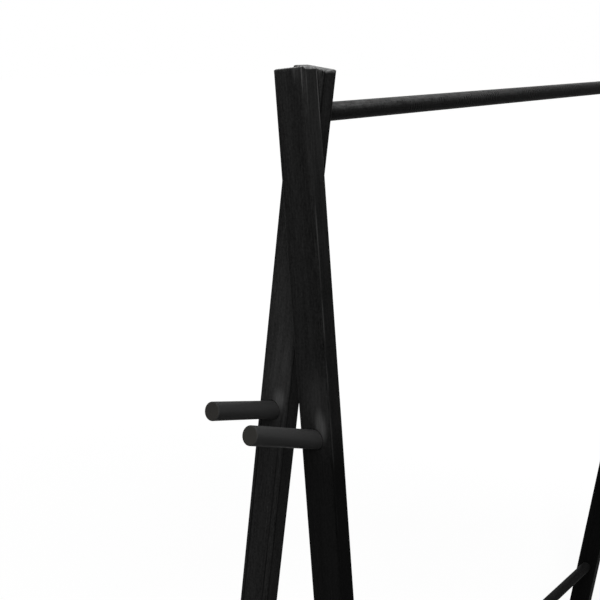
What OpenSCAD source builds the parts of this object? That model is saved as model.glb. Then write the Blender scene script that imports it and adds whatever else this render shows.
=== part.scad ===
// Clothes rack in black-stained wood. Two like end frames of crossed legs, lapped face to face near
// their tops, carry a round hanging rail at the crossing and two round stretchers near the floor.
// A coat peg rises out of the outward face of each leg. The rack stands on z = 0, its rail runs
// along X, and its front is towards -Y. The right end frame is the left one turned half a turn.

/* [Rack] */
// Width of the rack between the outer faces of its end frames
rack_w = 1500; // [900:10:1600]
// Height above the floor at which the centre lines of the legs cross
cross_h = 1530; // [1200:10:1700]

/* [Legs] */
// Width of a leg, seen from the end of the rack
leg_w = 50; // [44:1:60]
// Thickness of a leg, measured along the rack
leg_t = 29; // [26:1:36]
// Lean of a leg from the upright, in degrees
leg_lean = 6.5; // [5:0.25:8]
// Length of a leg above the crossing, along the leg
leg_above = 36; // [28:1:60]
// Radius of the long arrises of a leg
arris_r = 4; // [2:0.5:8]
// Radius of the edges round the top end of a leg
end_r = 4.5; // [1:0.5:6]
// Chamfer round the foot of a leg
foot_chamfer = 2; // [1:0.5:4]

/* [Hanging rail] */
// Diameter of the rail
rail_d = 25; // [20:1:30]
// Drop of the rail's centre line below the crossing
rail_drop = 22; // [15:1:30]
// Depth of the rail's blind socket in an outer leg
rail_socket = 14; // [8:1:18]

/* [Pegs] */
// Diameter of a peg
peg_d = 25; // [18:1:30]
// Length of a peg from the face of the leg to the free end, along its centre line
peg_l = 128.5; // [80:0.5:180]
// Rise of the outer leg's peg from the square line out of the leg, in degrees
outer_peg_rise = 19.5; // [5:0.5:25]
// Rise of the inner leg's peg, a little flatter in the photograph
inner_peg_rise = 16; // [5:0.5:25]
// Drop of the root of the outer leg's peg below the crossing
outer_peg_drop = 439.5; // [320:0.5:600]
// Drop of the root of the inner leg's peg, a little higher in the photograph
inner_peg_drop = 434; // [320:0.5:600]
// Depth of the blind socket of a peg, along its centre line
peg_socket = 15; // [10:1:16]
// Radius round the free end of a peg
peg_end_r = 1.5; // [0.5:0.5:3]

/* [Stretchers] */
// Diameter of a stretcher
stretcher_d = 25; // [20:1:30]
// Height of the centre lines of the stretchers above the floor
stretcher_h = 180; // [100:5:400]
// Depth of the blind sockets of a stretcher
stretcher_socket = 10; // [6:1:14]

/* [Lap of the legs] */
// Drop of the first dowel below the crossing
lap_first = 62; // [58:1:70]
// Distance from one dowel or screw to the next, down the lap
lap_pitch = 25; // [18:1:28]
// Diameter of a dowel
dowel_d = 10; // [8:1:12]
// Length of a dowel
dowel_l = 36; // [24:2:40]
// Length of a lap screw beyond the joint, in the outer leg
lap_screw_bite = 16; // [10:1:20]

/* [Peg and rail screws] */
// Shank diameter of the screws in the pegs and across the lap
screw_d = 5; // [4:0.5:6]
// Head diameter of those screws
screw_head_d = 9.5; // [8:0.5:11]
// Height of the head of a peg screw
peg_screw_head_h = 3.4; // [2:0.2:4]
// Depth of the counterbore of a peg screw, along the peg's centre line
peg_counterbore = 7; // [5:0.5:8]
// Length of a peg screw inside its peg
peg_screw_bite = 34; // [20:1:45]
// Shank diameter of the screw that locks the rail
rail_screw_d = 4.5; // [3.5:0.5:5]
// Head diameter of the screw that locks the rail
rail_screw_head_d = 8.5; // [7:0.5:10]
// Length of the rail screw beyond the rail's centre line
rail_screw_past = 6; // [2:0.5:8]

/* [Stretcher bolts] */
// Thread diameter of a bolt
bolt_d = 6; // [5:1:8]
// Head diameter of a bolt
bolt_head_d = 17; // [13:1:20]
// Height of the head of a bolt
bolt_head_h = 2.5; // [2:0.1:4]
// Diameter of a barrel nut
nut_d = 10; // [10:0.5:12]
// Length of a barrel nut
nut_l = 14; // [12:1:16]
// Distance of a barrel nut from the end of its stretcher
nut_inset = 28; // [20:1:40]
// Length of a bolt beyond its barrel nut
bolt_past = 3; // [1:0.5:6]

/* [Feet] */
// Diameter of a glide
glide_d = 22; // [18:1:26]
// Height of a glide
glide_h = 5; // [4:0.5:8]
// Shank diameter of the nail of a glide
nail_d = 2.5; // [2:0.1:3]
// Head diameter of that nail
nail_head_d = 6.5; // [5:0.5:8]
// Length of the nail inside the leg
nail_bite = 20; // [15:1:30]

/* [Clearances] */
// Gap round a bar or dowel in its socket
bar_gap = 0.15; // [0.05:0.05:0.3]
// Gap at the blind end of a socket
socket_end_gap = 0.6; // [0.2:0.1:1]
// Gap round a screw, bolt, nut or nail in its hole
screw_gap = 0.1; // [0.05:0.05:0.3]

/* [Hidden] */
$fn = 96;

stain = "#1d1c1b";
lacquer = "#2b2927";
beech = "#c9a877";
zinc = "#b8b9b6";
nylon = "#161616";

// The two ends of the rack and the two legs of a frame
left = 0;
right = 1;
outer = 0;
inner = 1;

// A leg is drawn longer than it is and cut off at its foot
leg_below = cross_h / cos(leg_lean) + leg_w;
// Sideways distance from the rack's middle plane to a leg's centre line, for a drop below the crossing
function spread(drop) = drop * tan(leg_lean);
rail_z = cross_h - rail_drop;
stretcher_y = spread(cross_h - stretcher_h);
foot_y = spread(cross_h - glide_h);
foot_half_w = leg_w / cos(leg_lean) / 2;
peg_rise = [outer_peg_rise, inner_peg_rise];
peg_drop = [outer_peg_drop, inner_peg_drop];
// Thickness of a leg along the tilted centre line of its peg
function peg_path(which) = leg_t / cos(peg_rise[which]);
// Distance from the rail's centre line to the back edge of an inner leg
rail_edge = leg_w / 2 + rail_drop * sin(leg_lean);
bar_chamfer = 1;
bar_bore_d = rail_d + 2 * bar_gap;
dowel_chamfer = 1;
// Countersunk heads lie this far below the wood
head_sink = 0.3;
head_chamfer = 1;
screw_tip = 5;
tip_d = 0.6;
// Width of the hexagon socket in a head, as a share of the shank's diameter
hex_share = 0.7;
nail_head_h = 1.2;
// Height above the floor of the inner side of a nail's head
nail_head_z = 1.6;
glide_edge = 1;
bolt_hole_past = 3;
nut_slot_w = 1.2;
nut_slot_depth = 2.5;
// Enough to carry a cut clear through the face that it opens in
over = 1;

// Placing

// A frame is drawn with its outer face on x = 0 and its inner side towards +X
module at_end(side) rotate([0, 0, 180 * side]) translate([-rack_w / 2, 0, 0]) children();

// A leg's own frame: z up the leg, x from its outward face into it, origin level with the crossing
module on_leg(which)
    translate([which * leg_t, 0, cross_h]) rotate([(2 * which - 1) * leg_lean, 0, 0]) children();

// A peg's own frame: z out along its centre line, origin where that leaves the leg's outward face
module on_peg(which)
    on_leg(which) translate([0, 0, -peg_drop[which] / cos(leg_lean)])
        rotate([0, peg_rise[which] - 90, 0]) children();

// Along the stretcher that ends in this leg: z inwards from the leg's outward face
module on_stretcher(which)
    translate([which * leg_t, (2 * which - 1) * stretcher_y, stretcher_h]) rotate([0, 90, 0]) children();

// The rail screw's frame: z from the rail's centre line to the back edge of the inner leg
module on_rail_screw()
    translate([1.5 * leg_t, 0, rail_z]) rotate([leg_lean, 0, 0]) rotate([-90, 0, 0]) children();

// One of the fixings down the lap: z inwards along the rack, from the joint between the legs
module on_lap(index)
    translate([leg_t, 0, cross_h - lap_first - index * lap_pitch]) rotate([0, 90, 0]) children();

// The floor under the middle of a foot
module at_foot(which) translate([(which + 0.5) * leg_t, (2 * which - 1) * foot_y, 0]) children();

// Shapes that repeat

module rounded_rect(w, h, r) {
    square([w - 2 * r, h], center = true);
    square([w, h - 2 * r], center = true);
    for (x = [-1, 1], y = [-1, 1]) translate([x * (w / 2 - r), y * (h / 2 - r)]) circle(r);
}

// Outline of a leg seen square to one of its faces, with its top corners rounded
module leg_outline(w) {
    length = leg_below + leg_above;
    translate([-w / 2, -leg_below]) square([w, length - end_r]);
    translate([end_r - w / 2, -leg_below]) square([w - 2 * end_r, length]);
    for (x = [-1, 1]) translate([x * (w / 2 - end_r), leg_above - end_r]) circle(end_r);
}

// Everything above the foot's cut, drawn in by a chamfer at the bottom edge
module foot_outline(half_w) {
    reach = cross_h + leg_above;
    low = half_w - foot_chamfer;
    polygon([[-low, 0], [low, 0], [low + reach, reach], [-low - reach, reach]]);
}

// A round bar from z = 0, with chamfered ends
module round_bar(d, l, chamfer) rotate_extrude()
    polygon([[0, 0], [d / 2 - chamfer, 0], [d / 2, chamfer],
             [d / 2, l - chamfer], [d / 2 - chamfer, l], [0, l]]);

// A screw with its head's outer face at z = 0 and its point towards +z
module countersunk_screw(head_d, d, l) difference() {
    cone_h = (head_d - d) / 2;
    union() {
        cylinder(h = cone_h, d1 = head_d, d2 = d);
        translate([0, 0, cone_h]) cylinder(h = l - cone_h - screw_tip, d = d);
        translate([0, 0, l - screw_tip]) cylinder(h = screw_tip, d1 = d, d2 = tip_d);
    }
    translate([0, 0, -over]) cylinder(h = over + cone_h, d = d * hex_share, $fn = 6);
}

// The hole of such a screw, flush with a face at z = 0
module countersunk_hole(head_d, d, l) {
    cone_h = (head_d - d) / 2;
    wide = head_d + 2 * screw_gap;
    translate([0, 0, -over]) cylinder(h = over + head_sink, d = wide);
    translate([0, 0, head_sink]) cylinder(h = cone_h, d1 = wide, d2 = d + 2 * screw_gap);
    translate([0, 0, head_sink]) cylinder(h = l, d = d + 2 * screw_gap);
}

// Legs

module leg_blank(which) intersection() {
    on_leg(which) translate([leg_t / 2, 0, 0]) intersection() {
        translate([0, 0, -leg_below])
            linear_extrude(leg_below + leg_above) rounded_rect(leg_t, leg_w, arris_r);
        rotate([90, 0, 90]) linear_extrude(leg_t, center = true) leg_outline(leg_w);
        rotate([90, 0, 0]) linear_extrude(leg_w, center = true) leg_outline(leg_t);
    }
    foot_cut(which);
}

// The level cut of the foot and its chamfers, along the rack and across it
module foot_cut(which) at_foot(which) translate([0, 0, glide_h]) intersection() {
    rotate([90, 0, 90]) linear_extrude(2 * leg_t, center = true) foot_outline(foot_half_w);
    rotate([90, 0, 0]) linear_extrude(4 * foot_y, center = true) foot_outline(leg_t / 2);
}

// Tilted socket of a peg, with the screw hole and counterbore that meet it from the inner face
module peg_bore(which) on_peg(which) {
    translate([0, 0, -peg_socket]) cylinder(h = peg_socket + peg_d, d = peg_d + 2 * bar_gap);
    translate([0, 0, -peg_path(which)]) cylinder(h = peg_path(which), d = screw_d + 2 * screw_gap);
    translate([0, 0, -peg_path(which) - peg_d])
        cylinder(h = peg_d + peg_counterbore, d = screw_head_d + 2 * screw_gap);
}

// Blind socket of a stretcher in the inner face, and the hole of its bolt
module stretcher_bore(which) on_stretcher(which) {
    translate([0, 0, leg_t - stretcher_socket])
        cylinder(h = stretcher_socket + over, d = stretcher_d + 2 * bar_gap);
    translate([0, 0, -over]) cylinder(h = leg_t + over, d = bolt_d + 2 * screw_gap);
}

module nail_bore(which) at_foot(which) cylinder(h = glide_h + nail_bite + over, d = nail_d + 2 * screw_gap);

module dowel_bores() for (i = [0, 2]) on_lap(i)
    cylinder(h = dowel_l + 2 * socket_end_gap, d = dowel_d + 2 * bar_gap, center = true);

module lap_screw_bores() for (i = [1, 3]) on_lap(i) translate([0, 0, leg_t]) mirror([0, 0, 1])
    countersunk_hole(screw_head_d, screw_d, leg_t + lap_screw_bite);

module outer_leg() difference() {
    leg_blank(outer);
    peg_bore(outer);
    stretcher_bore(outer);
    nail_bore(outer);
    dowel_bores();
    lap_screw_bores();
    translate([leg_t - rail_socket, 0, rail_z]) rotate([0, 90, 0])
        cylinder(h = rail_socket + over, d = bar_bore_d);
}

module inner_leg() difference() {
    leg_blank(inner);
    peg_bore(inner);
    stretcher_bore(inner);
    nail_bore(inner);
    dowel_bores();
    lap_screw_bores();
    translate([leg_t - over, 0, rail_z]) rotate([0, 90, 0]) cylinder(h = leg_t + 2 * over, d = bar_bore_d);
    on_rail_screw() translate([0, 0, rail_edge]) mirror([0, 0, 1])
        countersunk_hole(rail_screw_head_d, rail_screw_d, rail_edge);
}

module left_outer_leg() color(stain) at_end(left) outer_leg();
module left_inner_leg() color(stain) at_end(left) inner_leg();
module right_outer_leg() color(stain) at_end(right) outer_leg();
module right_inner_leg() color(stain) at_end(right) inner_leg();

// Dowels and screws across the lap

module crossing_dowels() for (i = [0, 2]) on_lap(i) translate([0, 0, -dowel_l / 2])
    round_bar(dowel_d, dowel_l, dowel_chamfer);

module crossing_screws() for (i = [1, 3]) on_lap(i) translate([0, 0, leg_t - head_sink]) mirror([0, 0, 1])
    countersunk_screw(screw_head_d, screw_d, leg_t + lap_screw_bite - head_sink);

module left_crossing_dowels() color(beech) at_end(left) crossing_dowels();
module right_crossing_dowels() color(beech) at_end(right) crossing_dowels();
module left_crossing_screws() color(zinc) at_end(left) crossing_screws();
module right_crossing_screws() color(zinc) at_end(right) crossing_screws();

// Hanging rail, from blind socket to blind socket, and the screws that lock it

module hanging_rail() color(stain) difference() {
    half_l = rack_w / 2 - leg_t + rail_socket - socket_end_gap;
    translate([-half_l, 0, rail_z]) rotate([0, 90, 0]) round_bar(rail_d, 2 * half_l, bar_chamfer);
    for (side = [left, right]) at_end(side) on_rail_screw() translate([0, 0, -rail_screw_past - over])
        cylinder(h = rail_screw_past + over + rail_d, d = rail_screw_d + 2 * screw_gap);
}

module rail_screw() on_rail_screw() translate([0, 0, rail_edge - head_sink]) mirror([0, 0, 1])
    countersunk_screw(rail_screw_head_d, rail_screw_d, rail_edge - head_sink + rail_screw_past);

module left_rail_screw() color(zinc) at_end(left) rail_screw();
module right_rail_screw() color(zinc) at_end(right) rail_screw();

// Stretchers. Each ends in an outer leg at one end of the rack and in an inner leg at the other

stretcher_l = rack_w - 3 * leg_t + 2 * (stretcher_socket - socket_end_gap);
nut_x = leg_t - stretcher_socket + socket_end_gap + nut_inset;
bolt_l = nut_x + nut_d / 2 + bolt_past;

// Bolt hole and barrel nut's hole at one end, in the frame of on_stretcher
module nut_bores() {
    bolt_hole_l = bolt_l + bolt_hole_past - leg_t + stretcher_socket;
    translate([0, 0, leg_t - stretcher_socket]) cylinder(h = bolt_hole_l, d = bolt_d + 2 * screw_gap);
    translate([-nut_l / 2 - screw_gap, 0, nut_x]) rotate([0, 90, 0])
        cylinder(h = stretcher_d + nut_l, d = nut_d + 2 * screw_gap);
}

module stretcher() difference() {
    at_end(left) on_stretcher(outer) translate([0, 0, leg_t - stretcher_socket + socket_end_gap])
        round_bar(stretcher_d, stretcher_l, bar_chamfer);
    at_end(left) on_stretcher(outer) nut_bores();
    at_end(right) on_stretcher(inner) nut_bores();
}

module front_stretcher() color(stain) stretcher();
module back_stretcher() color(stain) rotate([0, 0, 180]) stretcher();

// Flat-headed bolt with a hexagon socket, from the outward face of a leg
module stretcher_bolt() difference() {
    union() {
        translate([0, 0, -bolt_head_h])
            cylinder(h = head_chamfer, d1 = bolt_head_d - 2 * head_chamfer, d2 = bolt_head_d);
        translate([0, 0, head_chamfer - bolt_head_h])
            cylinder(h = bolt_head_h - head_chamfer, d = bolt_head_d);
        cylinder(h = bolt_l, d = bolt_d);
    }
    translate([0, 0, -bolt_head_h - over])
        cylinder(h = over + 2 * bolt_head_h, d = bolt_d * hex_share, $fn = 6);
}

module stretcher_bolts() for (which = [outer, inner]) on_stretcher(which) stretcher_bolt();

module left_stretcher_bolts() color(zinc) at_end(left) stretcher_bolts();
module right_stretcher_bolts() color(zinc) at_end(right) stretcher_bolts();

module barrel_nut() difference() {
    translate([-nut_l / 2, 0, nut_x]) rotate([0, 90, 0]) cylinder(h = nut_l, d = nut_d);
    cylinder(h = bolt_l + nut_d, d = bolt_d + 2 * screw_gap);
    translate([nut_l / 2, 0, nut_x]) cube([2 * nut_slot_depth, nut_slot_w, nut_d + over], center = true);
}

module stretcher_barrel_nuts() color(zinc) for (side = [left, right], which = [outer, inner])
    at_end(side) on_stretcher(which) barrel_nut();

// Pegs, cut square at both ends and sunk into the legs, and the screws that hold them

module peg(which) on_peg(which) difference() {
    root = peg_socket - socket_end_gap;
    rotate_extrude() {
        translate([0, -root]) square([peg_d / 2, root + peg_l - peg_end_r]);
        translate([0, -root]) square([peg_d / 2 - peg_end_r, root + peg_l]);
        translate([peg_d / 2 - peg_end_r, peg_l - peg_end_r]) circle(peg_end_r);
    }
    translate([0, 0, -peg_socket]) cylinder(h = peg_screw_bite + over, d = screw_d + 2 * screw_gap);
}

module peg_screw(which) on_peg(which) translate([0, 0, peg_counterbore - peg_path(which)]) difference() {
    shank = peg_path(which) - peg_counterbore - peg_socket + peg_screw_bite;
    union() {
        translate([0, 0, -peg_screw_head_h])
            cylinder(h = head_chamfer, d1 = screw_head_d - 2 * head_chamfer, d2 = screw_head_d);
        translate([0, 0, head_chamfer - peg_screw_head_h])
            cylinder(h = peg_screw_head_h - head_chamfer, d = screw_head_d);
        cylinder(h = shank - screw_tip, d = screw_d);
        translate([0, 0, shank - screw_tip]) cylinder(h = screw_tip, d1 = screw_d, d2 = tip_d);
    }
    translate([0, 0, -peg_screw_head_h - over])
        cylinder(h = over + peg_screw_head_h, d = screw_d * hex_share, $fn = 6);
}

module peg_screws() for (which = [outer, inner]) peg_screw(which);

module left_outer_peg() color(lacquer) at_end(left) peg(outer);
module left_inner_peg() color(lacquer) at_end(left) peg(inner);
module right_outer_peg() color(lacquer) at_end(right) peg(outer);
module right_inner_peg() color(lacquer) at_end(right) peg(inner);
module left_peg_screws() color(zinc) at_end(left) peg_screws();
module right_peg_screws() color(zinc) at_end(right) peg_screws();

// Glides and their nails

module glide() rotate_extrude() difference() {
    polygon([[0, 0], [glide_d / 2 - glide_edge, 0], [glide_d / 2, glide_edge],
             [glide_d / 2, glide_h], [0, glide_h]]);
    translate([0, -over]) square([nail_d / 2 + screw_gap, glide_h + 2 * over]);
    translate([0, -over]) square([nail_head_d / 2 + screw_gap, over + nail_head_z]);
}

module nail() {
    translate([0, 0, nail_head_z - nail_head_h]) cylinder(h = nail_head_h, d = nail_head_d);
    translate([0, 0, nail_head_z - over / 2])
        cylinder(h = glide_h + nail_bite - nail_head_z + over / 2 - nail_d, d = nail_d);
    translate([0, 0, glide_h + nail_bite - nail_d]) cylinder(h = nail_d, d1 = nail_d, d2 = tip_d);
}

module left_front_glide() color(nylon) at_end(left) at_foot(outer) glide();
module left_back_glide() color(nylon) at_end(left) at_foot(inner) glide();
module right_front_glide() color(nylon) at_end(right) at_foot(inner) glide();
module right_back_glide() color(nylon) at_end(right) at_foot(outer) glide();

module glide_nails() color(zinc) for (side = [left, right], which = [outer, inner])
    at_end(side) at_foot(which) nail();

left_outer_leg();
left_inner_leg();
right_outer_leg();
right_inner_leg();
left_crossing_dowels();
right_crossing_dowels();
left_crossing_screws();
right_crossing_screws();
hanging_rail();
left_rail_screw();
right_rail_screw();
front_stretcher();
back_stretcher();
left_stretcher_bolts();
right_stretcher_bolts();
stretcher_barrel_nuts();
left_outer_peg();
left_inner_peg();
right_outer_peg();
right_inner_peg();
left_peg_screws();
right_peg_screws();
left_front_glide();
left_back_glide();
right_front_glide();
right_back_glide();
glide_nails();
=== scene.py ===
import math

import bpy
from mathutils import Matrix, Vector


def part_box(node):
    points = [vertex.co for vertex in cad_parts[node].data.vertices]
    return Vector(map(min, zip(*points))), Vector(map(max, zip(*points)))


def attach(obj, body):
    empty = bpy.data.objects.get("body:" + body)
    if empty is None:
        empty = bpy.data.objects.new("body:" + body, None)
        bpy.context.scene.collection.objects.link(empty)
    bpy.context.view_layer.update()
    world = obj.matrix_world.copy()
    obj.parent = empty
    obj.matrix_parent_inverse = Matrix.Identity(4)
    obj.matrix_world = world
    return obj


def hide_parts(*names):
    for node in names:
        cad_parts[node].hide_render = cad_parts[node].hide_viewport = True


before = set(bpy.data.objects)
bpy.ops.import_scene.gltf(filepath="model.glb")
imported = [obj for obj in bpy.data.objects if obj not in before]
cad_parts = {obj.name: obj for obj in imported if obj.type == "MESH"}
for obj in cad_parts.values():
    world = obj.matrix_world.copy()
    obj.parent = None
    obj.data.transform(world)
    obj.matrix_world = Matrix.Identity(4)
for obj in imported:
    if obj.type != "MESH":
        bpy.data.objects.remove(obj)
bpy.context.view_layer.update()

# Camera
# It stands to the left of the rack and in front of it, as high as the tops of the legs, and looks down a
# little on the upper half of the left end frame, with the heading, dip and roll of the photograph.
eye = Vector((-1.6666, -0.7742, 1.6033))
heading = math.radians(42.51)
dip = math.radians(12.58)
roll = math.radians(0.2)
picture = 600
focal_length = 957.95
axis_at = (250, 250)
film_width = 36

bpy.ops.object.camera_add()
camera = bpy.context.object
camera.name = "camera"
camera.matrix_world = (
    Matrix.Translation(eye)
    @ Matrix.Rotation(heading - math.pi / 2, 4, "Z")
    @ Matrix.Rotation(math.pi / 2 - dip, 4, "X")
    @ Matrix.Rotation(roll, 4, "Z")
)
camera.data.sensor_width = film_width
camera.data.lens = focal_length / picture * film_width
camera.data.shift_x = (picture / 2 - axis_at[0]) / picture
camera.data.shift_y = (axis_at[1] - picture / 2) / picture
bpy.context.scene.camera = camera

# Legs
# Four planed hardwood bars under black stain and a thin matt clear coat, lapped face to face in pairs and
# glued. Painted highlights run along the outer legs' arrises and painted shade along the inner legs'. A
# painted contact shadow rings the bars where they enter. Paler patches lie over the pegs and on a worn top
# corner of each outer leg, and painted light pales the faces by the crossing. Painted shade darkens the
# outer legs below their pegs. The paler end grain is partly its own tone and partly painted light from
# above.
LEFT, RIGHT = 0, 1
OUTER, INNER = 0, 1
SIDES = ("left", "right")
LEGS = ("outer", "inner")
cross_h = 1.530
leg_lean = math.radians(6.5)
leg_w = 0.050
leg_above = 0.036
arris_r = 0.004
peg_drop = (0.4395, 0.434)
peg_rise = (math.radians(19.5), math.radians(16))
bar_r = 0.0125
leg_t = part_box("left_outer_leg")[1].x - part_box("left_outer_leg")[0].x
rack_w = 2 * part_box("right_outer_leg")[1].x
leg_stain = (("#0d0d0d", "#272727"), ("#141414", "#323232"))
# Pale end grain, and how far it turns onto the roundings: partly its own tone and partly painted light from
# above.
end_grain_and_top_light = (("#5a5a5a", "#9c9c9c"), ("#525252", "#888888"))
end_grain_and_top_light_from = ((0.0, 0.25), (0.02, 0.95))
# Pale grey for painted highlights, painted light and wear; near-black for painted shade and painted contact
# shadow.
highlight_and_wear_grey = "#5c5c5c"
painted_line_shade = "#050505"
shade_below_pegs_colour = "#050505"
pore_dark = "#060606"
fibre_width = 0.0010
fibre_length = 0.009
figure_width = 0.008
figure_length = 0.220
mottle_width = 0.0018
pore_width = 0.0005
pore_length = 0.007
ring_spacing = 0.0045
root_z = [-drop / math.cos(leg_lean) for drop in peg_drop]
# Arris lines: painted highlights on the outer legs, painted shade on the inner legs.
arris_highlight_and_shade = ((highlight_and_wear_grey, 0.0, 0.65), (painted_line_shade, 0.6, 1.0))
face_line_in = (arris_r, 0.0075)
face_line_ends = ((leg_above - 0.015, leg_above - 0.050), (root_z[INNER] - 0.010, root_z[INNER] + 0.010))
over_root = ((0, -0.012, root_z[OUTER] + 0.020), (0, -0.010, root_z[INNER] + 0.019))
above_peg = [(0, -0.008, root + 0.055) for root in root_z]
up_to_crossing = (0, 0, root_z[INNER] + 0.080)
under_crossing = (0, 0, -0.060)
front_edge = (leg_t / 2, -leg_w / 2, 0.020)
knocked_corner = (0, -0.012, leg_above - 0.005)
# Paler patches (centre, fading size, strength): lighter patches over each peg root; front_edge,
# up_to_crossing and under_crossing are painted light near the crossing; knocked_corner is wear.
lightened_patches = (
    [(over_root[OUTER], (0.008, 0.013, 0.030), 0.9), (above_peg[OUTER], (0.008, 0.030, 0.060), 0.16),
     (front_edge, (0.030, 0.010, 0.300), 0.12), (knocked_corner, (0.012, 0.008, 0.018), 0.25)],
    [(over_root[INNER], (0.008, 0.014, 0.024), 0.9), (above_peg[INNER], (0.008, 0.036, 0.070), 0.18),
     (up_to_crossing, (0.008, 0.050, 0.220), 0.10), (under_crossing, (0.008, 0.060, 0.080), 0.14)],
)
# How strongly the painted shade below the outer pegs darkens the front and back faces, and the outward and
# inward faces.
shade_below_pegs_on_edges = 0.95
shade_below_pegs_on_face = 0.55
pith = (0.03, -0.06)
ring_share = 0.1
contact_shade_width = (0.0014, 0.0003)
arris_line_width = (0.0016, 0.0004)


def linear(colour):
    """Linear RGBA of an sRGB hex colour."""
    parts = [int(colour[i : i + 2], 16) / 255 for i in (1, 3, 5)]
    return [c / 12.92 if c <= 0.04045 else ((c + 0.055) / 1.055) ** 2.4 for c in parts] + [1]


def add(tree, kind, settings=None, links=None):
    """Adds a node, sets its properties and inputs, and links inputs from nodes or from their outputs."""
    node = tree.nodes.new("ShaderNode" + kind)
    for name, value in (settings or {}).items():
        if isinstance(name, int) or name in node.inputs:
            is_colour = isinstance(value, str)
            node.inputs[name].default_value = linear(value) if is_colour else value
        else:
            setattr(node, name, value)
    for name, source in (links or {}).items():
        tree.links.new(getattr(source, "outputs", [source])[0], node.inputs[name])
    return node


def new_finish(name, roughness, specular):
    """A new material, with its node tree and its shader."""
    finish = bpy.data.materials.new(name)
    finish.use_nodes = True
    shader = finish.node_tree.nodes["Principled BSDF"]
    shader.inputs["Roughness"].default_value = roughness
    shader.inputs["Specular IOR Level"].default_value = specular
    return finish, finish.node_tree, shader


def dress(node, finish):
    """Gives a CAD node its finish."""
    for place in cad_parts[node].material_slots:
        place.material = finish


def end_frame(side):
    """The frame of one end of the rack: origin on the floor at its outer face, X inwards."""
    return Matrix.Rotation(math.pi * side, 4, "Z") @ Matrix.Translation((-rack_w / 2, 0, 0))


def leg_frame(side, which):
    """The frame of a leg: Z up the leg, X from its outward face into it, origin level with the crossing."""
    lean = (2 * which - 1) * leg_lean
    crossing = Matrix.Translation((which * leg_t, 0, cross_h))
    return end_frame(side) @ crossing @ Matrix.Rotation(lean, 4, "X")


def peg_frame(side, which):
    """The frame of a peg: Z out along its centre line, origin where that leaves the face of the leg."""
    root = Matrix.Translation((0, 0, -peg_drop[which] / math.cos(leg_lean)))
    return leg_frame(side, which) @ root @ Matrix.Rotation(peg_rise[which] - math.pi / 2, 4, "Y")


def bar_frame(node):
    """The frame of a bar along the rack: Z along it, origin at its middle."""
    low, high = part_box(node)
    return Matrix.Translation((low + high) / 2) @ Matrix.Rotation(math.pi / 2, 4, "Y")


def place_in(tree, piece):
    """Object coordinates in metres, turned into the frame of a piece whose grain runs along Z."""
    where = {"vector_type": "TEXTURE", "Location": piece.to_translation(), "Rotation": piece.to_euler()}
    return add(tree, "Mapping", where, {"Vector": add(tree, "TexCoord").outputs["Object"]})


def streaks(tree, place, width, length, seed):
    """Streaks along the grain, of a width and a length in metres. About 0.2 to 0.8."""
    stretch = {"Scale": (1, 1, width / length), "Location": (seed, seed, seed)}
    drawn = add(tree, "Mapping", stretch, {"Vector": place})
    return add(tree, "TexNoise", {"Scale": 0.5 / width, "Detail": 3, "Roughness": 0.6}, {"Vector": drawn})


def from_axis(tree, place):
    """Distance from the Z axis of a frame."""
    flat = add(tree, "VectorMath", {"operation": "MULTIPLY", 1: (1, 1, 0)}, {0: place})
    return add(tree, "VectorMath", {"operation": "LENGTH"}, {0: flat}).outputs["Value"]


def growth_rings(tree, place, pith, seed):
    """Yearly rings round a pith beside the bar, which wanders a little up the grain. 0 to 1."""
    centred = add(tree, "Mapping", {"Location": (-pith[0], -pith[1], seed)}, {"Vector": place})
    drift = add(tree, "TexNoise", {"Scale": 9, "Detail": 2}, {"Vector": centred}).outputs["Color"]
    sway = {"operation": "MULTIPLY_ADD", 1: (0.02, 0.02, 0)}
    radius = from_axis(tree, add(tree, "VectorMath", sway, {0: drift, 2: centred}))
    turns = add(tree, "Math", {"operation": "MULTIPLY", 1: 2 * math.pi / ring_spacing}, {0: radius})
    wave = add(tree, "Math", {"operation": "SINE"}, {0: turns})
    return add(tree, "MapRange", {"From Min": -1.0, "From Max": 1.0}, {"Value": wave})


def wood_tone(tree, place, seed):
    """The uneven take-up of stain on planed wood: fine fibres, broader figure and a close mottle. 0 to 1."""
    fine = streaks(tree, place, fibre_width, fibre_length, seed)
    figure = streaks(tree, place, figure_width, figure_length, seed + 1)
    mottle = streaks(tree, place, mottle_width, mottle_width, seed + 2)
    both = add(tree, "Math", {"operation": "ADD"}, {0: fine, 1: figure})
    every = add(tree, "Math", {"operation": "ADD"}, {0: both, 1: mottle})
    return add(tree, "MapRange", {"From Min": 1.07, "From Max": 1.93}, {"Value": every})


def open_pores(tree, place, seed):
    """Short open pores along the grain, which stay darker than the wood round them. 0 to 1."""
    dashes = streaks(tree, place, pore_width, pore_length, seed)
    return add(tree, "MapRange", {"From Min": 0.60, "From Max": 0.68}, {"Value": dashes})


def soft_patch(tree, place, centre, size):
    """A soft patch round a centre, which fades out at this size on each axis. 0 to 1."""
    patch = {"vector_type": "TEXTURE", "Location": centre, "Scale": size}
    in_patch = add(tree, "Mapping", patch, {"Vector": place})
    reach = add(tree, "VectorMath", {"operation": "LENGTH"}, {0: in_patch}).outputs["Value"]
    fading = {"interpolation_type": "SMOOTHSTEP", "From Min": 1.0, "From Max": 0.1}
    return add(tree, "MapRange", fading, {"Value": reach})


def facing_in(tree, piece):
    """The way a surface faces, along X, Y and Z of the frame of a piece."""
    turned = {"rotation_type": "EULER_XYZ", "invert": True, "Rotation": piece.to_euler()}
    facing = add(tree, "VectorRotate", turned, {"Vector": add(tree, "TexCoord").outputs["Normal"]})
    return add(tree, "SeparateXYZ", None, {0: facing}).outputs


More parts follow.
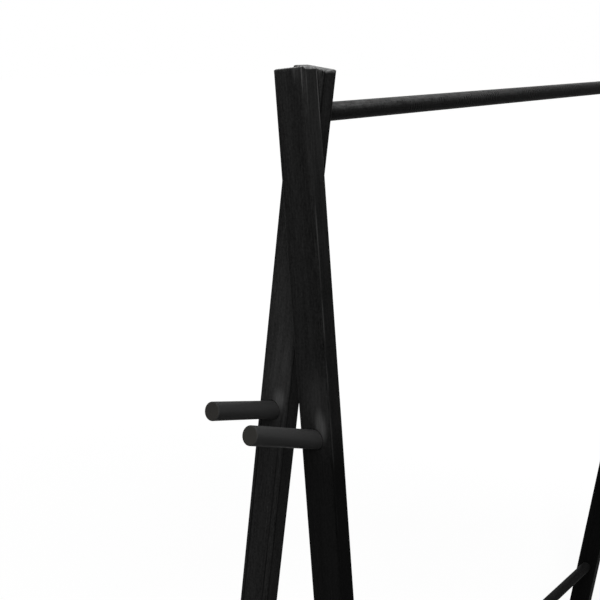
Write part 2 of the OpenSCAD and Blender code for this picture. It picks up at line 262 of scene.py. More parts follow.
def arris_lines(tree, place, up_leg, which):
    """Fine lines where a leg's rounded arrises run out into its faces and its edges. 0 to 1."""
    centred = add(tree, "VectorMath", {"operation": "SUBTRACT", 1: (leg_t / 2, 0, 0)}, {0: place})
    folded = add(tree, "VectorMath", {"operation": "ABSOLUTE"}, {0: centred})
    level = add(tree, "VectorMath", {"operation": "MULTIPLY", 1: (1, 1, 0)}, {0: folded})
    on_face = {"operation": "DISTANCE", 1: (leg_t / 2, leg_w / 2 - face_line_in[which], 0)}
    on_edge = {"operation": "DISTANCE", 1: (leg_t / 2 - arris_r, leg_w / 2, 0)}
    face_line = add(tree, "VectorMath", on_face, {0: level}).outputs["Value"]
    edge_line = add(tree, "VectorMath", on_edge, {0: level}).outputs["Value"]
    shown, hidden = face_line_ends[which]
    fading = {"From Min": shown, "From Max": hidden, "To Max": 0.002}
    further = add(tree, "MapRange", fading, {"Value": up_leg})
    fading_line = add(tree, "Math", {"operation": "ADD"}, {0: face_line, 1: further})
    nearest = add(tree, "Math", {"operation": "MINIMUM"}, {0: fading_line, 1: edge_line})
    narrow = {"From Min": arris_line_width[0], "From Max": arris_line_width[1]}
    return add(tree, "MapRange", narrow, {"Value": nearest})


def contact_shade_round(tree, bar_place):
    """A narrow ring of painted contact shadow close round a bar. 0 to 1."""
    close = {"From Min": bar_r + contact_shade_width[0], "From Max": bar_r + contact_shade_width[1]}
    return add(tree, "MapRange", close, {"Value": from_axis(tree, bar_place)})


def stained_leg(name, side, which):
    """Black-stained planed hardwood. The clear coat is dead matt, and shines only at a glancing angle."""
    finish, tree, shader = new_finish(name, 0.6, 0.012)
    seed = 3 + 10 * side + 5 * which
    place = place_in(tree, leg_frame(side, which))
    up_leg = add(tree, "SeparateXYZ", None, {0: place}).outputs["Z"]
    tone = wood_tone(tree, place, seed)
    rings = growth_rings(tree, place, pith, seed)
    ringed = add(tree, "Math", {"operation": "MULTIPLY_ADD", 1: ring_share}, {0: rings, 2: tone})
    dark, light = leg_stain[which]
    wood = add(tree, "MixRGB", {"Color1": dark, "Color2": light}, {"Fac": ringed})
    pores = open_pores(tree, place, seed)
    wood = add(tree, "MixRGB", {"Color2": pore_dark}, {"Fac": pores, "Color1": wood})

    facing = facing_in(tree, leg_frame(side, which))
    along_rack = add(tree, "Math", {"operation": "ABSOLUTE"}, {0: facing["X"]})
    endward = add(tree, "Math", {"operation": "SUBTRACT"}, {0: facing["Z"], 1: along_rack})
    # The end grain and the upward-facing roundings beside it are paler: partly the end grain's own tone,
    # partly painted light from above.
    turn_to_end = {"From Min": end_grain_and_top_light_from[which][0], "From Max": end_grain_and_top_light_from[which][1]}
    end_grain_and_top_light_share = add(tree, "MapRange", turn_to_end, {"Value": endward})
    end_tone = add(tree, "Math", {"operation": "MULTIPLY"}, {0: rings, 1: tone})
    end_and_top_light_colours = {"Color1": end_grain_and_top_light[which][0], "Color2": end_grain_and_top_light[which][1]}
    end_grain_and_top_light_wood = add(tree, "MixRGB", end_and_top_light_colours, {"Fac": end_tone})
    wood = add(tree, "MixRGB", None, {"Fac": end_grain_and_top_light_share, "Color1": wood, "Color2": end_grain_and_top_light_wood})

    # Painted highlight along the outer legs' arrises and painted shade along the inner legs' arrises, in
    # broken lines.
    arris = arris_lines(tree, place, up_leg, which)
    line_colour, weakest, strongest = arris_highlight_and_shade[which]
    patchy = {"From Min": 0.40, "From Max": 0.65, "To Min": weakest, "To Max": strongest}
    drawn = add(tree, "MapRange", patchy, {"Value": streaks(tree, place, 0.006, 0.060, seed + 2)})
    line = add(tree, "Math", {"operation": "MULTIPLY"}, {0: arris, 1: drawn})
    wood = add(tree, "MixRGB", {"Color2": line_colour}, {"Fac": line, "Color1": wood})
    # Painted shade: the outer legs are painted darker from just below their pegs down to the foot.
    if which == OUTER:
        below = {"From Min": root_z[OUTER] + 0.02, "From Max": root_z[OUTER] - 0.04}
        at_foot_end = add(tree, "MapRange", below, {"Value": up_leg})
        depths = {"To Min": shade_below_pegs_on_edges, "To Max": shade_below_pegs_on_face}
        by_face = add(tree, "MapRange", depths, {"Value": along_rack})
        painted_shade_below_pegs = add(tree, "Math", {"operation": "MULTIPLY"}, {0: at_foot_end, 1: by_face})
        wood = add(tree, "MixRGB", {"Color2": shade_below_pegs_colour}, {"Fac": painted_shade_below_pegs, "Color1": wood})

    # Paler patches in streaks: painted light near the crossing, lighter patches over the pegs, and a worn
    # top corner on the outer legs.
    for centre, size, strength in lightened_patches[which]:
        streaky = {"From Min": 0.35, "From Max": 0.65, "To Min": 0.4 * strength, "To Max": strength}
        depth = add(tree, "MapRange", streaky, {"Value": streaks(tree, place, 0.003, 0.050, seed + 4)})
        patch = soft_patch(tree, place, centre, size)
        lightening = add(tree, "Math", {"operation": "MULTIPLY"}, {0: patch, 1: depth})
        wood = add(tree, "MixRGB", {"Color2": highlight_and_wear_grey}, {"Fac": lightening, "Color1": wood})

    # Painted contact shadow: a narrow near-black ring on the leg round each peg and, on the inner legs,
    # round the rail.
    by_peg = place_in(tree, peg_frame(side, which))
    round_peg = contact_shade_round(tree, by_peg)
    out_along_peg = add(tree, "SeparateXYZ", None, {0: by_peg}).outputs["Z"]
    outward = add(tree, "MapRange", {"From Min": -0.010, "From Max": -0.008}, {"Value": out_along_peg})
    painted_contact_shade = add(tree, "Math", {"operation": "MULTIPLY"}, {0: round_peg, 1: outward})
    wood = add(tree, "MixRGB", {"Color2": painted_line_shade}, {"Fac": painted_contact_shade, "Color1": wood})
    if which == INNER:
        round_rail = contact_shade_round(tree, place_in(tree, bar_frame("hanging_rail")))
        wood = add(tree, "MixRGB", {"Color2": painted_line_shade}, {"Fac": round_rail, "Color1": wood})
    tree.links.new(wood.outputs[0], shader.inputs["Base Color"])

    rough = add(tree, "MapRange", {"To Min": 0.54, "To Max": 0.70}, {"Value": tone})
    tree.links.new(rough.outputs[0], shader.inputs["Roughness"])
    height = add(tree, "Math", {"operation": "SUBTRACT"}, {0: tone, 1: pores})
    bump = add(tree, "Bump", {"Strength": 1.0, "Distance": 0.00012}, {"Height": height})
    tree.links.new(bump.outputs[0], shader.inputs["Normal"])
    return finish


for side in (LEFT, RIGHT):
    for which in (OUTER, INNER):
        leg = f"{SIDES[side]}_{LEGS[which]}_leg"
        dress(leg, stained_leg("black_stained_" + leg, side, which))

# Crossing dowels
# Two bare beech dowels across the lap of each pair of legs, glued into both. None shows once they are in.
bare_beech = ("#a98458", "#cdab7c")
beech_fleck = "#7d5a37"


def turned_beech(name, node):
    """Bare turned beech: pale and matt, with short brown flecks along the grain."""
    finish, tree, shader = new_finish(name, 0.7, 0.3)
    place = place_in(tree, bar_frame(node))
    colours = {"Color1": bare_beech[0], "Color2": bare_beech[1]}
    wood = add(tree, "MixRGB", colours, {"Fac": wood_tone(tree, place, 5)})
    flecks = open_pores(tree, place, 6)
    wood = add(tree, "MixRGB", {"Color2": beech_fleck}, {"Fac": flecks, "Color1": wood})
    tree.links.new(wood.outputs[0], shader.inputs["Base Color"])
    rough = add(tree, "MapRange", {"To Min": 0.65, "To Max": 0.80}, {"Value": flecks})
    tree.links.new(rough.outputs[0], shader.inputs["Roughness"])
    return finish


for side in SIDES:
    dowels = side + "_crossing_dowels"
    dress(dowels, turned_beech("bare_beech_" + dowels, dowels))

# Crossing screws
# Two zinc-plated countersunk wood screws between the dowels of each lap, from the inner leg's inner face.
# They clamp the glued joint, and their heads with a hexagon socket lie just below the wood.
lap_first = 0.062
lap_pitch = 0.025
head_sink = 0.0003
lap_screw_bite = 0.016
lap_screw_l = leg_t + lap_screw_bite - head_sink
lap_screw_threads = 12
wood_screw_core = 0.0018
wood_screw_r = 0.0025
wood_screw_pitch = 0.0020
wood_screw_tip = 0.005
wood_screw_point = 0.0003
hex_socket_r = 0.00175
zinc = ("#a9aeb0", "#c3c4bd")


def zinc_plating(name):
    """Bright zinc plating with a clear passivate: pale bluish grey, with yellowish bloom and fine wear."""
    finish, tree, shader = new_finish(name, 0.32, 0.5)
    shader.inputs["Metallic"].default_value = 1
    place = add(tree, "TexCoord").outputs["Object"]
    bloom = add(tree, "TexNoise", {"Scale": 260, "Detail": 3, "Roughness": 0.6}, {"Vector": place})
    colour = add(tree, "MixRGB", {"Color1": zinc[0], "Color2": zinc[1]}, {"Fac": bloom})
    tree.links.new(colour.outputs[0], shader.inputs["Base Color"])
    rough = add(tree, "MapRange", {"To Min": 0.22, "To Max": 0.46}, {"Value": bloom})
    tree.links.new(rough.outputs[0], shader.inputs["Roughness"])
    grains = add(tree, "TexNoise", {"Scale": 3000, "Detail": 2}, {"Vector": place})
    bump = add(tree, "Bump", {"Strength": 1.0, "Distance": 0.00001}, {"Height": grains})
    tree.links.new(bump.outputs[0], shader.inputs["Normal"])
    return finish


def begin_turning(name, shape, corners=48):
    """A new round piece, drawn ring by ring through a shape of (radius, height) as on a lathe."""
    bpy.ops.object.select_all(action="DESELECT")
    radius, height = shape[0]
    bpy.ops.mesh.primitive_circle_add(vertices=corners, radius=radius, location=(0, 0, height))
    piece = bpy.context.object
    piece.name = name
    bpy.ops.object.transform_apply(location=True)
    bpy.ops.object.mode_set(mode="EDIT")
    bpy.ops.mesh.select_all(action="SELECT")
    is_hollow = shape[0] == shape[-1]
    if not is_hollow:
        bpy.ops.mesh.edge_face_add()
    for next_radius, next_height in shape[1:]:
        bpy.ops.mesh.extrude_edges_move(TRANSFORM_OT_translate={"value": (0, 0, next_height - height)})
        share = next_radius / radius
        bpy.ops.transform.resize(value=(share, share, 1), center_override=(0, 0, next_height))
        radius, height = next_radius, next_height
    if not is_hollow:
        bpy.ops.mesh.edge_face_add()
    bpy.ops.mesh.select_all(action="SELECT")
    bpy.ops.mesh.remove_doubles(threshold=0.000001)
    bpy.ops.mesh.normals_make_consistent(inside=False)
    bpy.ops.object.mode_set(mode="OBJECT")
    return piece


def pick(piece):
    """Selects one object alone and makes it the active one."""
    bpy.ops.object.select_all(action="DESELECT")
    piece.select_set(True)
    bpy.context.view_layer.objects.active = piece


def cut_away(piece, cutter):
    """Cuts the form of another object out of a piece."""
    pick(piece)
    bpy.ops.object.modifier_add(type="BOOLEAN")
    cut = piece.modifiers[-1]
    cut.operation = "DIFFERENCE"
    cut.object = cutter
    bpy.ops.object.modifier_apply(modifier=cut.name)
    bpy.data.objects.remove(cutter)


def sink_hexagon(piece, radius, height, depth):
    """A hexagon socket down into a head whose outer face lies at this height."""
    bpy.ops.mesh.primitive_cylinder_add(vertices=6, radius=radius, depth=2 * depth, location=(0, 0, height))
    cut_away(piece, bpy.context.object)


def cut_thread(piece, core, crest, pitch, start, turns):
    """A rolled thread: one ridge with a sharp crest, wound up the core."""
    ridge_size = crest - core
    bpy.ops.object.select_all(action="DESELECT")
    bpy.ops.mesh.primitive_circle_add(vertices=3, radius=ridge_size, location=(core, 0, start),
                                      rotation=(math.pi / 2, math.pi / 2, 0))
    ridge = bpy.context.object
    bpy.ops.object.transform_apply(location=True, rotation=True)
    bpy.ops.object.modifier_add(type="SCREW")
    wind = ridge.modifiers[-1]
    wind.angle = 2 * math.pi
    wind.screw_offset = pitch
    wind.iterations = turns
    wind.steps = 24
    wind.render_steps = 24
    bpy.ops.object.modifier_apply(modifier=wind.name)
    bpy.ops.object.mode_set(mode="EDIT")
    bpy.ops.mesh.select_all(action="SELECT")
    bpy.ops.mesh.fill_holes(sides=3)
    bpy.ops.mesh.normals_make_consistent(inside=False)
    bpy.ops.object.mode_set(mode="OBJECT")
    pick(piece)
    ridge.select_set(True)
    bpy.ops.object.join()


def finish_piece(piece, finish):
    """Smooths the turned faces, keeps the sharp edges, and gives the piece its finish."""
    pick(piece)
    bpy.ops.object.shade_smooth_by_angle(angle=math.radians(30))
    piece.data.materials.append(finish)


def put(model, name, place, node):
    """A copy of a finished piece in its place, which stands for a CAD node."""
    piece = model.copy()
    piece.data = model.data.copy()
    piece.name = name
    bpy.context.collection.objects.link(piece)
    piece.matrix_world = place
    pick(piece)
    bpy.ops.object.transform_apply(location=True, rotation=True, scale=True)
    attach(piece, "root")
    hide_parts(node)


def countersunk_shape(head_r, core, length):
    """A countersunk wood screw, its head's outer face at 0 and its point upwards."""
    return [
        (head_r, 0), (head_r, 0.0001), (core + 0.0006, head_r - core - 0.0005),
        (core + 0.0001, head_r - core + 0.0004), (core, head_r - core + 0.0012),
        (core, length - wood_screw_tip), (wood_screw_point, length),
    ]


plated_steel = zinc_plating("zinc_plated_steel")
lap_screw = begin_turning("lap_screw", countersunk_shape(0.0047, wood_screw_core, lap_screw_l))
sink_hexagon(lap_screw, hex_socket_r, 0, 0.0020)
thread_from = lap_screw_l - wood_screw_tip - lap_screw_threads * wood_screw_pitch
cut_thread(lap_screw, wood_screw_core, wood_screw_r, wood_screw_pitch, thread_from, lap_screw_threads)
finish_piece(lap_screw, plated_steel)
for side in (LEFT, RIGHT):
    for index in (1, 3):
        down_lap = Matrix.Translation((leg_t, 0, cross_h - lap_first - index * lap_pitch))
        head = Matrix.Translation((leg_t - head_sink, 0, 0)) @ Matrix.Rotation(-math.pi / 2, 4, "Y")
        seat = end_frame(side) @ down_lap @ head
        put(lap_screw, f"{SIDES[side]}_crossing_screw_{index}", seat, SIDES[side] + "_crossing_screws")
bpy.data.objects.remove(lap_screw)

# Hanging rail
# A round bar of the same wood, turned and stained like the legs, but with more of a sheen. It goes through
# the inner legs into blind sockets in the outer ones. Patches of its grain are crossed by fine ripples. Its
# upper side is painted paler, a painted highlight of light from above, strongest towards the ends.
rail_stain = ("#0e0e0e", "#2d2d2d")
ripple_spacing = 0.006
mottle_size = 0.004
top_highlight_share = 0.8


def stained_bar(name, node, seed, rippled, lightening):
    """Black-stained turned hardwood, which takes a smoother coat than the legs, in low sheen."""
    finish, tree, shader = new_finish(name, 0.42, 0.006)
    place = place_in(tree, bar_frame(node))
    tone = wood_tone(tree, place, seed)
    mottle = streaks(tree, place, mottle_size, 2 * mottle_size, seed + 3)
    mottled = add(tree, "Math", {"operation": "MULTIPLY_ADD", 1: 0.9}, {0: mottle, 2: tone})
    along = add(tree, "SeparateXYZ", None, {0: place}).outputs["Z"]
    bend = add(tree, "Math", {"operation": "MULTIPLY_ADD", 1: 0.010}, {0: mottle, 2: along})
    turns = add(tree, "Math", {"operation": "MULTIPLY", 1: 2 * math.pi / ripple_spacing}, {0: bend})
    ripples = add(tree, "Math", {"operation": "SINE"}, {0: turns})
    in_patches = {"From Min": 0.50, "From Max": 0.60, "To Max": rippled}
    patches = add(tree, "MapRange", in_patches, {"Value": streaks(tree, place, 0.020, 0.040, seed + 7)})
    crossed = add(tree, "Math", {"operation": "MULTIPLY_ADD"}, {0: ripples, 1: patches, 2: mottled})
    take_up = add(tree, "MapRange", {"From Min": 0.3, "From Max": 1.6}, {"Value": crossed})
    wood = add(tree, "MixRGB", {"Color1": rail_stain[0], "Color2": rail_stain[1]}, {"Fac": take_up})
    pores = open_pores(tree, place, seed)
    wood = add(tree, "MixRGB", {"Color2": pore_dark}, {"Fac": pores, "Color1": wood})
    # Painted highlight: the upper side of the bar is painted paler, most towards its ends, standing in for
    # light from above.
    upward = add(tree, "SeparateXYZ", None, {0: add(tree, "TexCoord").outputs["Normal"]}).outputs["Z"]
    along_top = {"From Min": 0.10, "From Max": 0.65, "To Max": top_highlight_share * lightening}
    on_top = add(tree, "MapRange", along_top, {"Value": upward})
    from_middle = add(tree, "Math", {"operation": "ABSOLUTE"}, {0: along})
    toward_ends = {"From Min": 0.1, "From Max": 0.6, "To Min": 0.55}
    near_ends = add(tree, "MapRange", toward_ends, {"Value": from_middle})
    top_highlight_mask = add(tree, "Math", {"operation": "MULTIPLY"}, {0: on_top, 1: near_ends})
    painted_top_highlight = add(tree, "Math", {"operation": "MULTIPLY"}, {0: top_highlight_mask, 1: take_up})
    wood = add(tree, "MixRGB", {"Color2": highlight_and_wear_grey}, {"Fac": painted_top_highlight, "Color1": wood})
    tree.links.new(wood.outputs[0], shader.inputs["Base Color"])
    rough = add(tree, "MapRange", {"To Min": 0.34, "To Max": 0.54}, {"Value": take_up})
    tree.links.new(rough.outputs[0], shader.inputs["Roughness"])
    bump = add(tree, "Bump", {"Strength": 1.0, "Distance": 0.0003}, {"Height": take_up})
    tree.links.new(bump.outputs[0], shader.inputs["Normal"])
    return finish


dress("hanging_rail", stained_bar("black_stained_rail", "hanging_rail", 11, 1, 1))

# Rail screws
# A zinc-plated countersunk wood screw through the back edge of each inner leg and into the rail, so that
# the rail neither turns nor draws out of its sockets.
rail_drop = 0.022
rail_edge = leg_w / 2 + rail_drop * math.sin(leg_lean)
past_rail_middle = 0.006
rail_screw_l = rail_edge - head_sink + past_rail_middle
rail_screw_core = 0.0016
rail_screw_r = 0.00225
rail_screw_threads = 11

rail_screw = begin_turning("rail_screw", countersunk_shape(0.00425, rail_screw_core, rail_screw_l))
sink_hexagon(rail_screw, 0.00155, 0, 0.0018)
thread_from = rail_screw_l - wood_screw_tip - rail_screw_threads * wood_screw_pitch
cut_thread(rail_screw, rail_screw_core, rail_screw_r, wood_screw_pitch, thread_from, rail_screw_threads)
finish_piece(rail_screw, plated_steel)
for side in (LEFT, RIGHT):
    rail_middle = Matrix.Translation((1.5 * leg_t, 0, cross_h - rail_drop))
    backward = Matrix.Rotation(leg_lean - math.pi / 2, 4, "X")
    head = Matrix.Translation((0, 0, rail_edge - head_sink)) @ Matrix.Rotation(math.pi, 4, "X")
    seat = end_frame(side) @ rail_middle @ backward @ head
    put(rail_screw, SIDES[side] + "_rail_locking_screw", seat, SIDES[side] + "_rail_screw")
bpy.data.objects.remove(rail_screw)

# Stretchers
# Two more round bars of that wood, near the floor. Each is held at both ends by a bolt through the leg.
# Their upper sides get a faint painted highlight, as the rail's does.
dress("front_stretcher", stained_bar("black_stained_front_stretcher", "front_stretcher", 17, 0.15, 0.2))
dress("back_stretcher", stained_bar("black_stained_back_stretcher", "back_stretcher", 23, 0.15, 0.2))

# Stretcher bolts
# A zinc-plated connector bolt at each end of each stretcher, through the leg from its outward face. It has
# a broad flat head with a hexagon socket, a plain shank, and a fine rolled thread where the nut takes it.
stretcher_h = 0.180
stretcher_y = (cross_h - stretcher_h) * math.tan(leg_lean)
stretcher_socket = 0.010
socket_gap = 0.0006
nut_from_end = 0.028
nut_x = leg_t - stretcher_socket + socket_gap + nut_from_end
bolt_past_nut = 0.008
bolt_l = nut_x + bolt_past_nut
bolt_head_h = 0.0025
bolt_core = 0.00255
bolt_r = 0.003
bolt_pitch = 0.001
bolt_threads = 31
bolt_shape = [
    (0.0070, -bolt_head_h), (0.0078, -0.0024), (0.0083, -0.0020), (0.0085, -0.0015), (0.0085, -0.0003),
    (0.0083, 0), (0.0034, 0), (0.0030, 0.0004), (0.0030, 0.0220), (bolt_core, 0.0226),
    (bolt_core, bolt_l - 0.0008), (0.0020, bolt_l),
]


def stretcher_frame(side, which):
    """Along the stretcher that ends in this leg: Z inwards from the leg's outward face."""
    end = Matrix.Translation((which * leg_t, (2 * which - 1) * stretcher_y, stretcher_h))
    return end_frame(side) @ end @ Matrix.Rotation(math.pi / 2, 4, "Y")


bolt = begin_turning("stretcher_bolt", bolt_shape)
sink_hexagon(bolt, 0.0021, -bolt_head_h, 0.0036)
thread_from = bolt_l - 0.0012 - bolt_threads * bolt_pitch
cut_thread(bolt, bolt_core, bolt_r, bolt_pitch, thread_from, bolt_threads)
finish_piece(bolt, plated_steel)
for side in (LEFT, RIGHT):
    for which in (OUTER, INNER):
        bolt_name = f"{SIDES[side]}_{LEGS[which]}_stretcher_bolt"
        put(bolt, bolt_name, stretcher_frame(side, which), SIDES[side] + "_stretcher_bolts")
bpy.data.objects.remove(bolt)

# Barrel nuts
# A zinc-plated cross dowel in each end of each stretcher, put in from below. It is cross-drilled for the
# bolt, and its lower end is slotted so that a screwdriver can turn it until the bolt finds the thread.
nut_r = 0.005
nut_half_l = 0.007
nut_shape = [
    (0.0045, -nut_half_l), (0.0048, -0.0069), (nut_r, -0.0066), (nut_r, 0.0066), (0.0048, 0.0069),
    (0.0045, nut_half_l),
]
nut_bore_r = 0.0031
nut_slot_w = 0.0012
nut_slot_depth = 0.0025

nut = begin_turning("barrel_nut", nut_shape)
bpy.ops.mesh.primitive_cylinder_add(vertices=48, radius=nut_bore_r, depth=4 * nut_r,
                                    rotation=(0, math.pi / 2, 0))
cut_away(nut, bpy.context.object)
bpy.ops.mesh.primitive_cube_add(size=1, location=(0, 0, nut_half_l))
bpy.context.object.scale = (4 * nut_r, nut_slot_w, 2 * nut_slot_depth)
cut_away(nut, bpy.context.object)
finish_piece(nut, plated_steel)
for side in (LEFT, RIGHT):
    for which in (OUTER, INNER):
        middle = Matrix.Translation((0, 0, nut_x)) @ Matrix.Rotation(math.pi / 2, 4, "Y")
        nut_name = f"{SIDES[side]}_{LEGS[which]}_barrel_nut"
        put(nut, nut_name, stretcher_frame(side, which) @ middle, "stretcher_barrel_nuts")
bpy.data.objects.remove(nut)

# Pegs
# Four turned hardwood bars, cut square at the free end and set in tilted sockets. They are sprayed with
# black lacquer in a smooth satin, which looks greyer than the stain and lets hardly any grain through.
lacquer = ("#353535", "#3f3f3f")
lacquer_on_end = "#353432"
peg_l = 0.1285


def lacquered_peg(name, side, which):
    """Sprayed lacquer over turned wood. It hides the pores, and dries with a faint orange peel."""
    finish, tree, shader = new_finish(name, 0.42, 0.008)
    place = place_in(tree, peg_frame(side, which))
    grain = streaks(tree, place, 0.003, 0.050, 31 + 2 * side + which)
    wood = add(tree, "MixRGB", {"Color1": lacquer[0], "Color2": lacquer[1]}, {"Fac": grain})
    along = add(tree, "SeparateXYZ", None, {0: place}).outputs["Z"]
    last = {"From Min": peg_l - 0.0005, "From Max": peg_l - 0.0001}
    at_end = add(tree, "MapRange", last, {"Value": along})
    wood = add(tree, "MixRGB", {"Color2": lacquer_on_end}, {"Fac": at_end, "Color1": wood})
    tree.links.new(wood.outputs[0], shader.inputs["Base Color"])
    rough = add(tree, "MapRange", {"To Min": 0.38, "To Max": 0.48}, {"Value": grain})
    tree.links.new(rough.outputs[0], shader.inputs["Roughness"])
    peel = add(tree, "TexNoise", {"Scale": 600, "Detail": 1}, {"Vector": place})
    bump = add(tree, "Bump", {"Strength": 1.0, "Distance": 0.00006}, {"Height": peel})
    tree.links.new(bump.outputs[0], shader.inputs["Normal"])
    return finish


for side in (LEFT, RIGHT):
    for which in (OUTER, INNER):
        peg = f"{SIDES[side]}_{LEGS[which]}_peg"
        dress(peg, lacquered_peg("black_lacquered_" + peg, side, which))

# Peg screws
# Each peg is pulled into its socket by a zinc-plated screw from the inner side of the leg. Its round head
# has a hexagon socket, and sits on the floor of a deep counterbore.
peg_counterbore = 0.007
peg_socket = 0.015
peg_screw_bite = 0.034
peg_screw_head_h = 0.0034
peg_screw_threads = 15
peg_screw_head = [
    (0.0036, -peg_screw_head_h), (0.0042, -0.00335), (0.0046, -0.0031), (0.00475, -0.0027),
    (0.00475, -0.00015), (0.0046, 0), (0.0024, 0), (0.0021, 0.0005), (wood_screw_core, 0.0010),
]

for which in (OUTER, INNER):
    peg_path = leg_t / math.cos(peg_rise[which])
    length = peg_path - peg_counterbore - peg_socket + peg_screw_bite
    point = [(wood_screw_core, length - wood_screw_tip), (wood_screw_point, length)]
    peg_screw = begin_turning("peg_screw", peg_screw_head + point)
    sink_hexagon(peg_screw, hex_socket_r, -peg_screw_head_h, 0.0022)
    thread_from = length - wood_screw_tip - peg_screw_threads * wood_screw_pitch
    cut_thread(peg_screw, wood_screw_core, wood_screw_r, wood_screw_pitch, thread_from, peg_screw_threads)
    finish_piece(peg_screw, plated_steel)
    for side in (LEFT, RIGHT):
        seat = peg_frame(side, which) @ Matrix.Translation((0, 0, peg_counterbore - peg_path))
        put(peg_screw, f"{SIDES[side]}_{LEGS[which]}_peg_screw", seat, SIDES[side] + "_peg_screws")
    bpy.data.objects.remove(peg_screw)

# Glides
# A round black nylon glide under each foot, injection moulded with a rounded lower edge, and recessed so
# that the nail's head clears the floor. The mould leaves a fine even texture.
glide_h = 0.005
foot_y = (cross_h - glide_h) * math.tan(leg_lean)
nail_hole_r = 0.00135
recess_r = 0.00335
glide_shape = [
    (nail_hole_r, glide_h), (0.0103, glide_h), (0.0108, 0.0049), (0.0110, 0.0046), (0.0110, 0.0015),
    (0.0109, 0.0010), (0.0106, 0.0005), (0.0101, 0.00015), (0.0094, 0), (0.0040, 0), (0.0036, 0.0001),
    (recess_r, 0.0004), (recess_r, 0.0016), (nail_hole_r, 0.0016), (nail_hole_r, glide_h),
]
glide_nodes = {(LEFT, OUTER): "left_front_glide", (LEFT, INNER): "left_back_glide",
               (RIGHT, OUTER): "right_back_glide", (RIGHT, INNER): "right_front_glide"}
black_nylon = ("#121212", "#191919")


def moulded_nylon(name):
    """Black injection-moulded nylon: a soft low gloss over the fine spark-eroded texture of its mould."""
    finish, tree, shader = new_finish(name, 0.5, 0.35)
    place = add(tree, "TexCoord").outputs["Object"]
    texture = add(tree, "TexNoise", {"Scale": 2500, "Detail": 2}, {"Vector": place})
    scuffs = add(tree, "TexNoise", {"Scale": 160, "Detail": 3}, {"Vector": place})
    colour = add(tree, "MixRGB", {"Color1": black_nylon[0], "Color2": black_nylon[1]}, {"Fac": scuffs})
    tree.links.new(colour.outputs[0], shader.inputs["Base Color"])
    rough = add(tree, "MapRange", {"To Min": 0.42, "To Max": 0.60}, {"Value": scuffs})
    tree.links.new(rough.outputs[0], shader.inputs["Roughness"])
    bump = add(tree, "Bump", {"Strength": 1.0, "Distance": 0.00004}, {"Height": texture})
    tree.links.new(bump.outputs[0], shader.inputs["Normal"])
    return finish


def foot_frame(side, which):
    """The floor under the middle of a foot."""
    return end_frame(side) @ Matrix.Translation(((which + 0.5) * leg_t, (2 * which - 1) * foot_y, 0))


glide = begin_turning("glide", glide_shape)
finish_piece(glide, moulded_nylon("black_moulded_nylon"))
for (side, which), node in glide_nodes.items():
    put(glide, f"{SIDES[side]}_{LEGS[which]}_foot_glide", foot_frame(side, which), node)
bpy.data.objects.remove(glide)

# Glide nails
# One zinc-plated nail up into the end grain of each foot, its head in the glide's recess. The shank is
# straight wire with a nipped point.
nail_shape = [
    (0.0024, 0.0004), (0.0029, 0.00045), (0.0032, 0.0007), (0.00325, 0.0010), (0.00325, 0.0014),
    (0.0031, 0.0016), (0.0014, 0.0016), (0.00125, 0.0019), (0.00125, 0.0225), (0.0003, 0.0250),
]

nail = begin_turning("nail", nail_shape)
finish_piece(nail, plated_steel)
for side in (LEFT, RIGHT):
    for which in (OUTER, INNER):
        put(nail, f"{SIDES[side]}_{LEGS[which]}_glide_nail", foot_frame(side, which), "glide_nails")
bpy.data.objects.remove(nail)

# Floor and light
# A plain pale studio floor that fades into a white backdrop. One soft light hangs over the near end frame
# and one over the rail beside it. Two stand to the left, one near and one further out to the front, and one
# far off to the right. The white seen behind the rack isn't light on it.
floor_grey = 0.3
floor_glow_near = 0.89
fade_start = 1.2
fade_end = 4.0
backdrop_light = 0.05


def seen_white(tree):
    """1 for the rays that show the background: straight to the camera, or by way of a shine or a glass."""
    path = add(tree, "LightPath").outputs
    shine = add(tree, "Math", {"operation": "ADD"}, {0: path["Is Camera Ray"], 1: path["Is Glossy Ray"]})
    either = {"operation": "ADD", "use_clamp": True}
    return add(tree, "Math", either, {0: shine, 1: path["Is Transmission Ray"]})


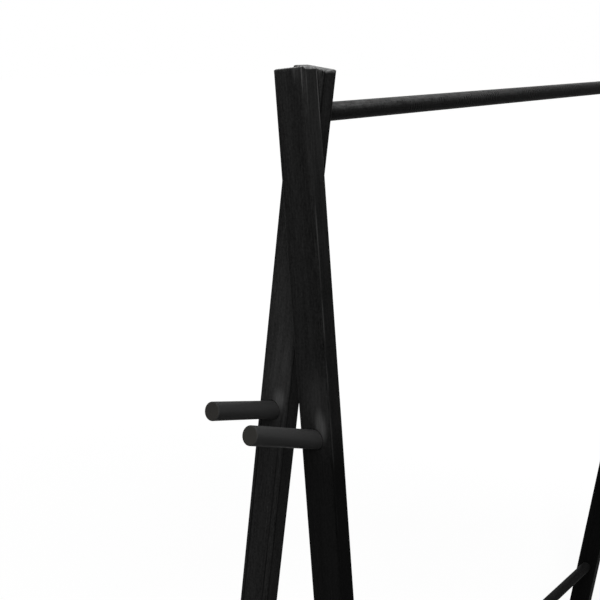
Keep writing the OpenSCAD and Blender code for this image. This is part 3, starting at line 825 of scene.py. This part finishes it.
bpy.ops.object.select_all(action="DESELECT")
bpy.ops.mesh.primitive_plane_add(size=60, location=(0, 0, 0))
floor = bpy.context.object
floor.name = "floor"
floor_finish, floor_tree, floor_shader = new_finish("pale_studio_floor", 0.9, 0)
floor_shader.inputs["Base Color"].default_value = (floor_grey, floor_grey, floor_grey, 1)
floor_shader.inputs["Emission Color"].default_value = (1, 1, 1, 1)
ground = add(floor_tree, "TexCoord").outputs["Object"]
radius = add(floor_tree, "VectorMath", {"operation": "LENGTH"}, {0: ground}).outputs["Value"]
fade = {"From Min": fade_start, "From Max": fade_end, "To Min": floor_glow_near}
glow = add(floor_tree, "MapRange", fade, {"Value": radius})
seen = add(floor_tree, "Math", {"operation": "MULTIPLY"}, {0: glow, 1: seen_white(floor_tree)})
floor_tree.links.new(seen.outputs[0], floor_shader.inputs["Emission Strength"])
floor.data.materials.append(floor_finish)

world = bpy.data.worlds.new("studio")
bpy.context.scene.world = world
world.use_nodes = True
backdrop = world.node_tree.nodes["Background"]
backdrop.inputs["Color"].default_value = (1, 1, 1, 1)
level = add(world.node_tree, "MapRange", {"To Min": backdrop_light}, {"Value": seen_white(world.node_tree)})
world.node_tree.links.new(level.outputs[0], backdrop.inputs["Strength"])


def soft_light(name, place, aim, size, brightness):
    """An evenly bright panel. A brightness of 1 is that of a white wall in full light."""
    bpy.ops.object.light_add(type="AREA", location=place)
    lamp = bpy.context.object
    lamp.name = name
    lamp.data.shape = "RECTANGLE"
    lamp.data.size = size[0]
    lamp.data.size_y = size[1]
    lamp.data.energy = brightness * math.pi * size[0] * size[1]
    lamp.rotation_euler = (Vector(aim) - Vector(place)).to_track_quat("-Z", "Y").to_euler()
    lamp.visible_camera = False


soft_light("near_end_light", (-0.75, -0.15, 2.23), (-0.75, 0, 1.45), (1.15, 0.33), 4.4)
soft_light("rail_light", (-0.55, 0.0, 2.30), (-0.55, 0.0, 1.5), (0.4, 0.25), 11)
soft_light("near_left_light", (-1.9, -0.3, 2.2), (-0.75, 0, 1.4), (0.6, 0.6), 5)
soft_light("left_light", (-2.9, -1.5, 2.7), (-0.75, 0, 1.2), (1.6, 1.6), 5.5)
soft_light("right_light", (3.6, 1.1, 2.0), (0.7, 0, 1.3), (1.6, 1.6), 3)

bpy.context.scene.view_settings.view_transform = "Standard"
